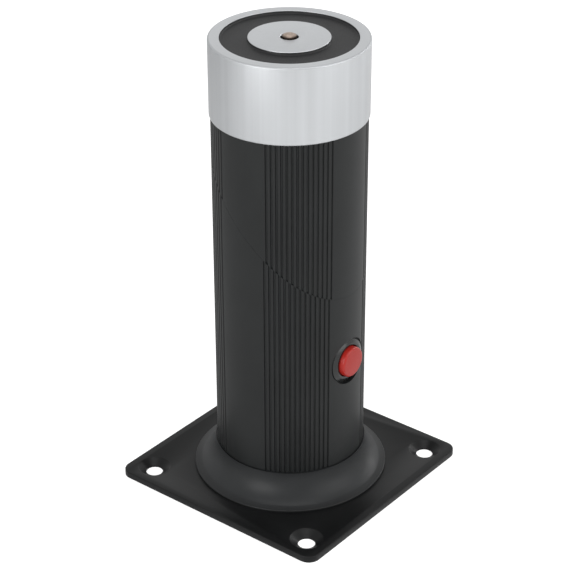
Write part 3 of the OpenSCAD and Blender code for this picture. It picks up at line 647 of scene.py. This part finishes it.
def cutter(t, name, radius, start, end, height=None):
    """A cylinder along Z, or along Y at a given height, that is cut out of a solid."""
    start = t.value(name + " Start", start)
    end = t.value(name + " End", end)
    made = t.node("GeometryNodeMeshCylinder", {"fill_type": "NGON"}, Vertices=256,
                  Radius=t.value(name + " Radius", radius), Depth=t.maths("SUBTRACT", end, start))
    middle = t.maths("DIVIDE", t.maths("ADD", start, end), 2.0)
    moved = t.node("GeometryNodeTransform", Geometry=made.outputs["Mesh"])
    if height is None:
        place = t.node("ShaderNodeCombineXYZ", Z=middle)
    else:
        place = t.node("ShaderNodeCombineXYZ", Y=middle, Z=t.value(name + " Height", height))
        moved.inputs["Rotation"].default_value = (math.radians(90), 0, 0)
    t.put(moved.inputs["Translation"], place.outputs[0])
    return moved.outputs[0]


def cut(t, solid, cutters):
    """Takes the cutters out of a solid, one after the other."""
    for tool in cutters:
        made = t.node("GeometryNodeMeshBoolean", {"operation": "DIFFERENCE", "solver": "EXACT"})
        t.put(made.inputs[0], solid)
        t.put(made.inputs[1], tool)
        solid = made.outputs[0]
    return solid


# Operators


class MAGNET_OT_tubes(Operator):
    """Builds both ribbed tubes with their mitre, bores and the button's spot face"""

    bl_idname = "magnet.tubes"
    bl_label = "Ribbed tubes"

    def execute(self, context):
        column = context.scene.magnet_column
        button = context.scene.magnet_button
        black = anodised_black(context.scene.magnet_finish.tube)
        quarter = column.groove_pitch / 4
        rise = column.seam / 2 / math.cos(MITRE_TILT)
        slope = math.tan(MITRE_TILT)
        bottom = node_low("foot_tube")
        top = node_top("head_tube")
        mitre = column.mitre_height
        far = 2 * column.radius
        spot_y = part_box("switch_body")[0][1] + 1.5 * MM
        gap = 0.1 * MM
        spot_radius = button.bezel_radius + button.spot_gap
        pot_low = node_low("magnet_pot")
        land = 3.4 * MM

        t = Tree("lower_ribbed_tube")
        solid = prism_between(t, ribbed_section(t, column, -quarter), t.value("Bottom", bottom), 0.0,
                              t.value("Mitre Height", mitre - rise), t.value("Mitre Slope", slope))
        solid = cut(t, solid, [
            cutter(t, "Raw Bore", column.raw_bore, -far, mitre + far),
            cutter(t, "Base Seat", column.seat_bore, -far, node_top("base_flange") + gap),
            cutter(t, "Plug Seat", column.seat_bore, node_low("foot_plug"), mitre + far),
            cutter(t, "Spot Face", spot_radius, -far, spot_y, button.height),
            cutter(t, "Barrel Hole", button.barrel_radius + gap, -far, 0.0, button.height)])
        t.end(solid, black)
        lower = new_object("lower_tube", t.make("lower_tube"))
        smooth(lower.data)
        finish_piece(lower, "foot", black, "black_anodised", "foot_tube")

        t = Tree("upper_ribbed_tube")
        solid = prism_between(t, ribbed_section(t, column, quarter),
                              t.value("Mitre Height", mitre + rise), t.value("Mitre Slope", slope),
                              t.value("Top", top), 0.0)
        solid = cut(t, solid, [
            cutter(t, "Raw Bore", column.raw_bore, -far, top + far),
            cutter(t, "Plug Seat", column.seat_bore, -far, pot_low - land),
            cutter(t, "Pot Seat", column.seat_bore, pot_low - gap, top + far)])
        t.end(solid, black)
        upper = new_object("upper_tube", t.make("upper_tube"))
        smooth(upper.data)
        finish_piece(upper, "head", black, "black_anodised", "head_tube")
        return {"FINISHED"}


def rounded_square(side, corner, inset, steps=10):
    """Points of a square with round corners, moved inwards by an inset."""
    points = []
    middle = side / 2 - corner
    radius = corner - inset
    for quarter in range(4):
        turn = math.pi / 2 * quarter
        sign_x = 1 if quarter in (0, 3) else -1
        sign_y = 1 if quarter in (0, 1) else -1
        for k in range(steps + 1):
            a = turn + math.pi / 2 * k / steps
            points.append((sign_x * middle + radius * math.cos(a),
                           sign_y * middle + radius * math.sin(a)))
    return points


def ring_points(x, y, radius, count=64):
    """Points of a circle."""
    turns = [2 * math.pi * k / count for k in range(count)]
    return [(x + radius * math.cos(a), y + radius * math.sin(a)) for a in turns]


def plate_mesh(name, base):
    """The closed square plate with rounded edges and four countersunk holes."""
    points = []
    faces = []

    def add_ring(flat, z):
        start = len(points)
        points.extend((x, y, z) for x, y in flat)
        return list(range(start, start + len(flat)))

    def bridge(low, high):
        for k in range(len(low)):
            j = (k + 1) % len(low)
            faces.append((low[k], low[j], high[j], high[k]))

    def fill(outer, holes):
        order = outer + [p for hole in holes for p in hole]
        loops = [[Vector(points[p]) for p in loop] for loop in [outer] + holes]
        for corners in tessellate_polygon(loops):
            faces.append(tuple(order[c] for c in corners))

    steps = 4
    edge = base.edge
    top = base.thickness
    flatter_below = 0.4
    turns = [math.pi / 2 * k / steps for k in range(steps + 1)]
    rises = [(1 - math.sin(a), edge * (1 - math.cos(a)) * flatter_below) for a in turns]
    rises += [(1 - math.cos(a), top - edge * (1 - math.sin(a))) for a in turns]
    wall = [add_ring(rounded_square(base.side, base.corner, edge * inset), z) for inset, z in rises]
    for low, high in zip(wall, wall[1:]):
        bridge(low, high)
    top_holes = []
    low_holes = []
    half = base.hole_spacing / 2
    soft = 0.15 * MM
    for x in (-half, half):
        for y in (-half, half):
            profile = [(base.hole_radius, 0.0), (base.hole_radius, base.hole_land),
                       (base.sink_radius - soft, top - soft), (base.sink_radius, top - soft * 0.35),
                       (base.sink_radius + soft, top)]
            rings = [add_ring(ring_points(x, y, r), z) for r, z in profile]
            for low, high in zip(rings, rings[1:]):
                bridge(low, high)
            low_holes.append(rings[0])
            top_holes.append(rings[-1])
    fill(wall[-1], top_holes)
    fill(wall[0], low_holes)
    mesh = mesh_from(name, points, faces)
    smooth(mesh)
    return mesh


def flare_outline(base):
    """The turned part of the casting: lip, cove, seat, spigot, cup and cored underside."""
    tube = node_radius("foot_tube")
    spigot, spigot_top = 24.4 * MM, 20.1 * MM
    cup, cup_floor, cable = 21 * MM, 3 * MM, 8 * MM
    core_in, core_in_top = 25.5 * MM, 7.05 * MM
    core_bend, core_bend_top = 28.5 * MM, 5.05 * MM
    core_out, core_out_top = 31.5 * MM, 2.2 * MM
    soft = 0.3 * MM
    under = 0.0
    lip_in = base.lip_radius - base.lip_width
    lip_z = base.thickness + base.lip_step
    lip_in_z = lip_z + base.lip_rise
    inner = tube + base.seat_groove
    run = lip_in - inner
    rise = base.flare_top - lip_in_z
    radius = (run * run + rise * rise) / (2 * run)
    start = math.acos(max(-1.0, (run - radius) / radius))
    cove = []
    steps = 24
    for k in range(steps + 1):
        a = math.pi + (math.pi - start) * (1 - k / steps)
        cove.append((inner + radius + radius * math.cos(a), base.flare_top + radius * math.sin(a), 0))
    groove_low = base.flare_top - base.seat_groove
    groove_in = tube - 0.2 * MM
    return softened([
        (cable, under, 0), (core_in, under, 0), (core_in, core_in_top, 0),
        (core_bend, core_bend_top, 0.8 * MM), (core_out, core_out_top, 0.5 * MM),
        (core_out, under, 0), (base.lip_radius, under, 0), (base.lip_radius, lip_z, 0.35 * MM),
        (lip_in + 0.05 * MM, lip_in_z, 0.0)]
        + cove[1:] + [
        (inner, groove_low, 0), (groove_in, groove_low, 0), (groove_in, base.flare_top, 0),
        (spigot, base.flare_top, 0), (spigot, spigot_top, soft), (cup, spigot_top, soft),
        (cup, cup_floor, soft), (cable, cup_floor, soft)])


class MAGNET_OT_base(Operator):
    """Builds the cast base: plate, flare, spigot and the holes from below"""

    bl_idname = "magnet.base"
    bl_label = "Base"

    def execute(self, context):
        base = context.scene.magnet_base
        plate = new_object("base_plate", plate_mesh("base_plate", base))
        flare = lathe("flare", flare_outline(base), 256)
        below = -1 * MM
        core_radius, core_top = 33.5 * MM, 5 * MM
        core = lathe("plate_core", [(0, below), (core_radius, below), (core_radius, core_top),
                                    (0, core_top)])
        join_by(plate, core, "DIFFERENCE")
        head_radius = 4 * MM
        tie_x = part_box("tie_screws")[1][0] - head_radius
        boss_radius, boss_low, boss_top = 5 * MM, 0.5 * MM, 8 * MM
        sink_radius, sink_rim = 4.1 * MM, 0.4 * MM
        hole_radius, hole_low = 2.2 * MM, 2.3 * MM
        above = 9 * MM
        for side in (-1, 1):
            place = Matrix.Translation((side * tie_x, 0, 0))
            boss = lathe("tie_boss", softened([
                (0, boss_low, 0), (boss_radius, boss_low, 0), (boss_radius, boss_top, 0.3 * MM),
                (0, boss_top, 0)]), 96, place)
            join_by(flare, boss, "UNION")
            sink = lathe("tie_sink", [
                (0, below), (sink_radius, below), (sink_radius, sink_rim), (hole_radius, hole_low),
                (hole_radius, above), (0, above)], 96, place)
            join_by(flare, sink, "DIFFERENCE")
        join_by(flare, plate, "UNION")
        smooth(flare.data)
        flare.name = "cast_base"
        paint = painted_black(context.scene.magnet_finish.base, base.thickness)
        finish_piece(flare, "foot", paint, "black_paint", "base_flange")
        return {"FINISHED"}


def join_by(target, tool, operation):
    """Applies a boolean to a target and removes the tool."""
    modifier = target.modifiers.new("boolean", "BOOLEAN")
    modifier.operation = operation
    modifier.solver = "EXACT"
    modifier.object = tool
    graph = bpy.context.evaluated_depsgraph_get()
    graph.update()
    mesh = bpy.data.meshes.new_from_object(target.evaluated_get(graph))
    target.modifiers.clear()
    target.data = mesh
    bpy.data.objects.remove(tool)


class MAGNET_OT_pot(Operator):
    """Builds the pot, its potting and the push-off pin"""

    bl_idname = "magnet.pot"
    bl_label = "Pot magnet"

    def execute(self, context):
        magnet = context.scene.magnet_pot
        finish = context.scene.magnet_finish
        top = node_top("magnet_pot")
        low = node_low("magnet_pot")
        shoulder = node_top("head_tube")
        outer = node_radius("magnet_pot")
        rim_in = outer - magnet.rim_wall
        floor = top - magnet.coil_depth
        chamber, chamber_top = 4.5 * MM, node_top("push_off_pin") - 10.2 * MM
        spigot = 24.4 * MM
        hole = magnet.pin_hole
        sharp = 0.12 * MM
        pot = lathe("pot", softened([
            (chamber, low, 0), (spigot, low, 0.5 * MM), (spigot, shoulder, 0),
            (outer, shoulder, magnet.edge), (outer, top, magnet.edge), (rim_in, top, sharp),
            (rim_in, floor, 0), (magnet.pole_radius, floor, 0), (magnet.pole_radius, top, sharp * 1.6),
            (magnet.pin_sink, top, sharp), (hole, top - magnet.pin_sink + hole, 0),
            (hole, chamber_top, 0), (chamber, chamber_top, 0)]), 256)
        silver = satin_silver(finish.pot, outer, top, magnet.edge)
        finish_piece(pot, "head", silver, "zinc_plated_pot", "magnet_pot")

        level = top - magnet.potting_drop
        climb = magnet.potting_drop - 0.2 * MM
        gap = 0.02 * MM
        skin = [(gap, 1.0), (0.1 * MM, 0.98), (0.16 * MM, 0.6), (0.3 * MM, 0.25),
                (0.55 * MM, 0.06), (0.9 * MM, 0.0)]
        cover_low = node_low("coil_cover")
        cover = lathe("potting", [
            (magnet.pole_radius + gap, cover_low), (rim_in - gap, cover_low)]
            + [(rim_in - off, level + climb * share) for off, share in skin]
            + [(magnet.pole_radius + off, level + climb * share) for off, share in reversed(skin)], 256)
        finish_piece(cover, "head", potting_resin(finish.resin), "black_resin", "coil_cover")

        tip = node_top("push_off_pin")
        tail = node_low("push_off_pin")
        collar = node_radius("push_off_pin")
        collar_low = chamber_top - 3 * MM
        tail_radius = 1.8 * MM
        crown = 0.85 * MM
        ball = (magnet.pin_radius ** 2 + crown ** 2) / (2 * crown)
        dome = [(r, tip - ball + math.sqrt(ball ** 2 - r ** 2))
                for r in (magnet.pin_radius * k / 12 for k in range(13))]
        pin = lathe("pin", [(0, tail), (tail_radius, tail), (tail_radius, collar_low),
                            (collar, collar_low), (collar, chamber_top),
                            (magnet.pin_radius, chamber_top)] + list(reversed(dome)), 96)
        finish_piece(pin, "pin", rubbed_pin(finish.pin, tip - crown), "pin_steel", "push_off_pin")
        return {"FINISHED"}


def into_column(height):
    """Turns a lathe's Z into the button's axis, which runs along +Y."""
    return Matrix.Translation((0, 0, height)) @ Matrix.Rotation(math.radians(-90), 4, "X")


class MAGNET_OT_button(Operator):
    """Builds the bezel with its barrel and the red cap"""

    bl_idname = "magnet.button"
    bl_label = "Push-button"

    def execute(self, context):
        button = context.scene.magnet_button
        finish = context.scene.magnet_finish
        turn = into_column(button.height)
        low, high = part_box("switch_body")
        crest = low[1]
        front = crest + button.bezel_drop
        back = high[1]
        spot = crest + 1.48 * MM
        recess = button.cap_radius + 0.3 * MM
        flat, bevel = recess + 0.8 * MM, front + 0.85 * MM
        floor = crest + 5.5 * MM
        guide = floor + 3 * MM
        room, bore = 5.2 * MM, 2.1 * MM
        bezel = lathe("bezel", softened([
            (recess, front, 0.25 * MM), (flat, front, 0.8 * MM),
            (button.bezel_radius, bevel, 0.2 * MM), (button.bezel_radius, spot, 0),
            (button.barrel_radius, spot, 0), (button.barrel_radius, back, 0.4 * MM),
            (room, back, 0), (room, guide, 0), (bore, guide, 0), (bore, floor, 0),
            (recess, floor, 0)]), 128, turn)
        finish_piece(bezel, "foot", moulded_plastic("black_gloss", finish.bezel, 0.22), "black_plastic",
                     "switch_body")

        low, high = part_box("button_cap")
        face = low[1]
        tip = high[1]
        back = face + 5.5 * MM
        stem, tip_radius, step = 2 * MM, 1.3 * MM, tip - 5 * MM
        cap = lathe("cap", softened([
            (0, face, 0), (button.cap_radius, face, button.cap_edge), (button.cap_radius, back, 0),
            (stem, back, 0), (stem, step, 0), (tip_radius, step, 0), (tip_radius, tip, 0),
            (0, tip, 0)]), 128, turn)
        finish_piece(cap, "button", moulded_plastic("red_gloss", finish.cap, 0.3, 0.38), "red_plastic",
                     "button_cap")
        return {"FINISHED"}


def spring_mesh(name, radius, wire, length_free, turns, material):
    """A wire spring along Z whose first and last turn lie closed."""
    t = Tree(name)
    radius = t.value("Mean Radius", radius)
    wire = t.value("Wire Radius", wire)
    turns = t.value("Turns", turns)
    rise = t.maths("SUBTRACT", t.value("Free Length", length_free), t.maths("MULTIPLY", wire, 2.0))
    closed = t.maths("MULTIPLY", wire, 2.1)
    share = t.maths("DIVIDE", 1.0, turns)
    rest = t.maths("SUBTRACT", 1.0, share)
    spiral = t.node("GeometryNodeCurveSpiral", Resolution=40, Rotations=turns, Start_Radius=radius,
                    End_Radius=radius, Height=0.0)
    along = t.node("GeometryNodeSplineParameter").outputs["Factor"]
    height = wire
    open_rise = t.maths("SUBTRACT", rise, t.maths("MULTIPLY", closed, 2.0))
    for start, end, step in ((0.0, share, closed), (share, rest, open_rise), (rest, 1.0, closed)):
        height = t.maths("ADD", height, t.ranged(along, start, end, 0.0, step))
    place = t.node("GeometryNodeInputPosition").outputs[0]
    place = t.node("ShaderNodeSeparateXYZ", Vector=place).outputs
    lifted = t.node("ShaderNodeCombineXYZ", X=place[0], Y=place[1], Z=height)
    coil = t.node("GeometryNodeSetPosition", Geometry=spiral.outputs[0], Position=lifted.outputs[0])
    section = ring_curve(t, wire, 12)
    solid = t.node("GeometryNodeCurveToMesh", Curve=coil.outputs[0], Profile_Curve=section,
                   Fill_Caps=True)
    t.end(solid.outputs[0], material)
    mesh = t.make(name)
    smooth(mesh)
    return mesh


class MAGNET_OT_springs(Operator):
    """Builds the springs behind the button and the pin"""

    bl_idname = "magnet.springs"
    bl_label = "Wire springs"

    def execute(self, context):
        springs = context.scene.magnet_springs
        steel = turned_metal("spring_wire", (0.42, 0.43, 0.45), 0.28)

        low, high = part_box("pin_spring")
        free = high[2] - low[2]
        mean = (high[0] - low[0]) / 2 - springs.pin_wire
        coil = new_object("pin_coil", spring_mesh("pin_coil", mean, springs.pin_wire, free,
                                                  springs.pin_turns, steel))
        coil.data.transform(Matrix.Translation((0, 0, low[2])))
        finish_piece(coil, "head", steel, "spring_steel", "pin_spring")
        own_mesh(coil)

        low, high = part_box("button_spring")
        free = high[1] - low[1]
        mean = (high[0] - low[0]) / 2 - springs.button_wire
        middle = (low[2] + high[2]) / 2
        coil = new_object("button_coil", spring_mesh("button_coil", mean, springs.button_wire, free,
                                                     springs.button_turns, steel))
        coil.data.transform(into_column(middle) @ Matrix.Translation((0, 0, low[1])))
        finish_piece(coil, "foot", steel, "spring_steel", "button_spring")
        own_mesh(coil)
        return {"FINISHED"}


class MAGNET_OT_inside(Operator):
    """Gives every solid that keeps its own mesh its finish"""

    bl_idname = "magnet.inside"
    bl_label = "Inner pieces"

    def execute(self, context):
        made = {
            "cast_alloy": cast_alloy((0.42, 0.43, 0.45)),
            "plated_steel": turned_metal("plated_steel", (0.58, 0.59, 0.6)),
            "spring_steel": turned_metal("spring_steel", (0.42, 0.43, 0.45), 0.28),
            "brass": turned_metal("brass", (0.66, 0.47, 0.18), 0.3),
            "copper_winding": wound_copper((0.55, 0.24, 0.1)),
            "black_plastic": moulded_plastic("black_moulding", (0.02, 0.02, 0.022), 0.45),
            "brown_plastic": moulded_plastic("brown_moulding", (0.12, 0.055, 0.025), 0.45),
            "natural_plastic": moulded_plastic("natural_moulding", (0.68, 0.65, 0.55), 0.45),
            "dark_insulation": moulded_plastic("dark_insulation", (0.04, 0.04, 0.045), 0.5),
            "red_insulation": moulded_plastic("red_insulation", (0.36, 0.03, 0.03), 0.5),
            "rubber": moulded_plastic("black_rubber", (0.02, 0.02, 0.02), 0.6),
        }
        slots = {part["node"]: part["material_slot"] for part in frame["record"]["subparts"]}
        for name, piece in frame["nodes"].items():
            if piece.hide_render:
                continue
            if slots[name] not in made:
                raise RuntimeError(f"{name} has no finish for {slots[name]}")
            for slot in piece.material_slots:
                slot.material = made[slots[name]]
        return {"FINISHED"}


def white_when_seen(steps, lit_shader, glow, mirrored):
    """Adds a glow that camera rays see in full, and glossy and transmission rays as far as mirrored."""
    path = steps.node("ShaderNodeLightPath").outputs
    bounced = steps.maths("MAXIMUM", path["Is Glossy Ray"], path["Is Transmission Ray"])
    seen = steps.maths("MAXIMUM", path["Is Camera Ray"], steps.maths("MULTIPLY", bounced, mirrored))
    emission = steps.node("ShaderNodeEmission", Strength=steps.maths("MULTIPLY", seen, glow))
    added = steps.node("ShaderNodeAddShader")
    steps.put(added.inputs[0], lit_shader)
    steps.put(added.inputs[1], emission.outputs[0])
    return added.outputs[0]


def soft_lamp(name, place, aim, width, height, energy):
    """An upright area lamp that faces a point."""
    data = bpy.data.lights.new(name, "AREA")
    data.shape = "RECTANGLE"
    data.size = width
    data.size_y = height
    data.energy = energy
    lamp = bpy.data.objects.new(name, data)
    bpy.context.scene.collection.objects.link(lamp)
    lamp.location = place
    lamp.rotation_euler = (Vector(aim) - Vector(place)).to_track_quat("-Z", "Y").to_euler()
    lamp.visible_camera = False


def paper_towards_key(steps, key, most):
    """How much of the paper's glow the object mirrors: most on the key light's side."""
    place = steps.node("ShaderNodeTexCoord").outputs["Object"]
    heading = steps.vector_maths("NORMALIZE", place)["Vector"]
    along = steps.vector_maths("DOT_PRODUCT", heading, key)["Value"]
    return steps.ranged(along, -1.0, 1.0, 0.0, most)


def sky_by_height(steps, overhead):
    """How much of the backdrop's glow the object mirrors: less overhead."""
    way = steps.node("ShaderNodeTexCoord").outputs["Generated"]
    height = steps.node("ShaderNodeSeparateXYZ", Vector=way).outputs[2]
    return steps.ranged(height, 0.0, 1.0, 1.0, overhead)


class MAGNET_OT_stage(Operator):
    """Builds the pale floor, the lamps and the camera"""

    bl_idname = "magnet.stage"
    bl_label = "Stage"

    def execute(self, context):
        settings = context.scene.magnet_stage
        scene = context.scene
        scene.view_settings.view_transform = "Standard"

        mesh = bpy.data.meshes.new("floor")
        reach = 6.0
        under = -0.05 * MM
        corners = ((-reach, -reach), (reach, -reach), (reach, reach), (-reach, reach))
        mesh.from_pydata([(x, y, under) for x, y in corners], [], [(0, 1, 2, 3)])
        floor = new_object("floor", mesh)
        paper = bpy.data.materials.new("pale_paper")
        steps = emptied(paper)
        matte = steps.node("ShaderNodeBsdfDiffuse", Color=(0.8, 0.8, 0.8))
        key = (-0.25, -0.97, 0)
        seen = white_when_seen(steps, matte.outputs[0], 0.6, paper_towards_key(steps, key, 0.56))
        from_below = steps.node("ShaderNodeNewGeometry").outputs["Backfacing"]
        clear = steps.node("ShaderNodeBsdfTransparent").outputs[0]
        side = steps.node("ShaderNodeMixShader")
        for socket, value in zip(side.inputs, (from_below, seen, clear)):
            steps.put(socket, value)
        steps.node("ShaderNodeOutputMaterial", Surface=side.outputs[0])
        floor.data.materials.append(paper)

        world = bpy.data.worlds.new("studio")
        scene.world = world
        steps = emptied(world)
        fill = steps.node("ShaderNodeBackground", Color=(1, 1, 1), Strength=0.42)
        seen = white_when_seen(steps, fill.outputs[0], 0.58, sky_by_height(steps, 0.45))
        steps.node("ShaderNodeOutputWorld", Surface=seen)

        aim = (0, 0, 0.09)
        soft_lamp("key_softbox", (0.3, -1.35, 0.75), aim, 1.2, 1.1, 8.5)
        soft_lamp("right_strip", (1.0, -0.25, 0.4), aim, 0.12, 0.7, 1.8)
        soft_lamp("left_softbox", (-1.05, 0.0, 0.45), aim, 0.6, 0.6, 5.0)
        soft_lamp("top_softbox", (-0.1, -0.1, 1.2), aim, 0.6, 0.6, 3.0)

        data = bpy.data.cameras.new("camera")
        camera = bpy.data.objects.new("camera", data)
        scene.collection.objects.link(camera)
        data.sensor_width = SENSOR_MM
        data.lens = settings.focal_pixels / FRAME_PIXELS * SENSOR_MM
        back = camera_back(settings.azimuth, settings.elevation)
        look = -camera_back(settings.azimuth, settings.pitch)
        turn = look.to_track_quat("-Z", "Y").to_matrix()
        turn = turn @ Matrix.Rotation(settings.roll, 3, "Z")
        camera.matrix_world = Matrix.Translation(
            Vector((0, 0, settings.aim_height)) + settings.distance * back) @ turn.to_4x4()
        scene.camera = camera
        return {"FINISHED"}


def camera_back(azimuth, elevation):
    """The direction from the object to a camera; azimuth 0 looks along +Y."""
    return Vector((math.sin(azimuth) * math.cos(elevation), -math.cos(azimuth) * math.cos(elevation),
                   math.sin(elevation)))


class MAGNET_PT_panel(Panel):
    """Lists the pieces in the sidebar"""

    bl_label = "Holding electromagnet"
    bl_idname = "MAGNET_PT_panel"
    bl_space_type = "VIEW_3D"
    bl_region_type = "UI"
    bl_category = "Magnet"

    def draw(self, context):
        for operator in OPERATORS:
            self.layout.operator(operator.bl_idname)


SETTINGS = {
    "magnet_column": ColumnSettings,
    "magnet_base": BaseSettings,
    "magnet_pot": MagnetSettings,
    "magnet_button": ButtonSettings,
    "magnet_springs": SpringSettings,
    "magnet_finish": FinishSettings,
    "magnet_stage": StageSettings,
}
OPERATORS = (MAGNET_OT_stage, MAGNET_OT_tubes, MAGNET_OT_base, MAGNET_OT_pot, MAGNET_OT_button,
             MAGNET_OT_springs, MAGNET_OT_inside)


def register():
    for name, settings in SETTINGS.items():
        bpy.utils.register_class(settings)
        setattr(bpy.types.Scene, name, PointerProperty(type=settings))
    for operator in OPERATORS:
        bpy.utils.register_class(operator)
    bpy.utils.register_class(MAGNET_PT_panel)


def unregister():
    bpy.utils.unregister_class(MAGNET_PT_panel)
    for operator in reversed(OPERATORS):
        bpy.utils.unregister_class(operator)
    for name, settings in SETTINGS.items():
        delattr(bpy.types.Scene, name)
        bpy.utils.unregister_class(settings)


def main():
    register()
    bpy.ops.magnet.stage()
    bpy.ops.magnet.tubes()
    bpy.ops.magnet.base()
    bpy.ops.magnet.pot()
    bpy.ops.magnet.button()
    bpy.ops.magnet.springs()
    bpy.ops.magnet.inside()


if __name__ == "__main__":
    main()
